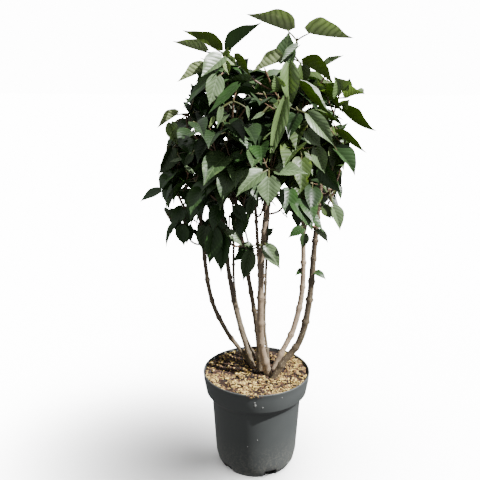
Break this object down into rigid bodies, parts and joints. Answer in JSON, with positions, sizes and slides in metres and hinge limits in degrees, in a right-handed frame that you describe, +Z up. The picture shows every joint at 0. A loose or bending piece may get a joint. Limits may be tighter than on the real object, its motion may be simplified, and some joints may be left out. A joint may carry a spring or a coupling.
{
  "type": "potted lilac",
  "caption": "Young many-stemmed lilac shrub with heart-shaped leaves in a round dark grey nursery pot topped with bark mulch.",
  "frame": {"origin": "centre of the pot's flat underside, on the surface it stands on", "axes": "+Z up; +X to the viewer's right and -Y towards the viewer who sees the shrub's front"},
  "size_m": [0.5616, 0.547, 1.1856],
  "materials": {
    "pot": "matt moulded nursery pot plastic, dusty near its foot",
    "soil": "moist potting soil of peat and composted bark",
    "mulch": "loose bark chips",
    "bark": "young grey-brown lilac bark with pale pores",
    "foliage": "satin green leaves on reddish brown twigs"
  },
  "bodies": {
    "root": {"pot": "pot", "soil": "soil", "mulch": "mulch", "stem_1": "bark", "stem_2": "bark", "stem_3": "bark", "stem_4": "bark", "stem_5": "bark", "stem_6": "bark", "stem_7": "bark", "stem_8": "bark", "stem_9": "bark", "bough_front": "bark", "bough_front_left": "bark", "bough_left": "bark", "bough_right": "bark", "bough_back": "bark", "foliage_01": "foliage", "foliage_02": "foliage", "foliage_03": "foliage", "foliage_04": "foliage", "foliage_05": "foliage", "foliage_06": "foliage", "foliage_07": "foliage", "foliage_08": "foliage", "foliage_09": "foliage", "foliage_10": "foliage", "foliage_11": "foliage", "foliage_12": "foliage", "foliage_13": "foliage", "foliage_14": "foliage", "foliage_15": "foliage", "foliage_16": "foliage", "foliage_17": "foliage", "foliage_18": "foliage", "foliage_19": "foliage", "foliage_20": "foliage", "foliage_21": "foliage", "foliage_22": "foliage", "foliage_23": "foliage", "foliage_24": "foliage", "foliage_25": "foliage", "foliage_26": "foliage", "foliage_27": "foliage", "foliage_28": "foliage", "foliage_29": "foliage", "foliage_30": "foliage", "foliage_31": "foliage", "foliage_32": "foliage", "foliage_33": "foliage", "foliage_34": "foliage", "foliage_35": "foliage", "foliage_36": "foliage", "foliage_37": "foliage", "foliage_38": "foliage", "foliage_39": "foliage", "foliage_40": "foliage", "foliage_41": "foliage", "foliage_42": "foliage", "foliage_43": "foliage"}
  },
  "joints": []
}
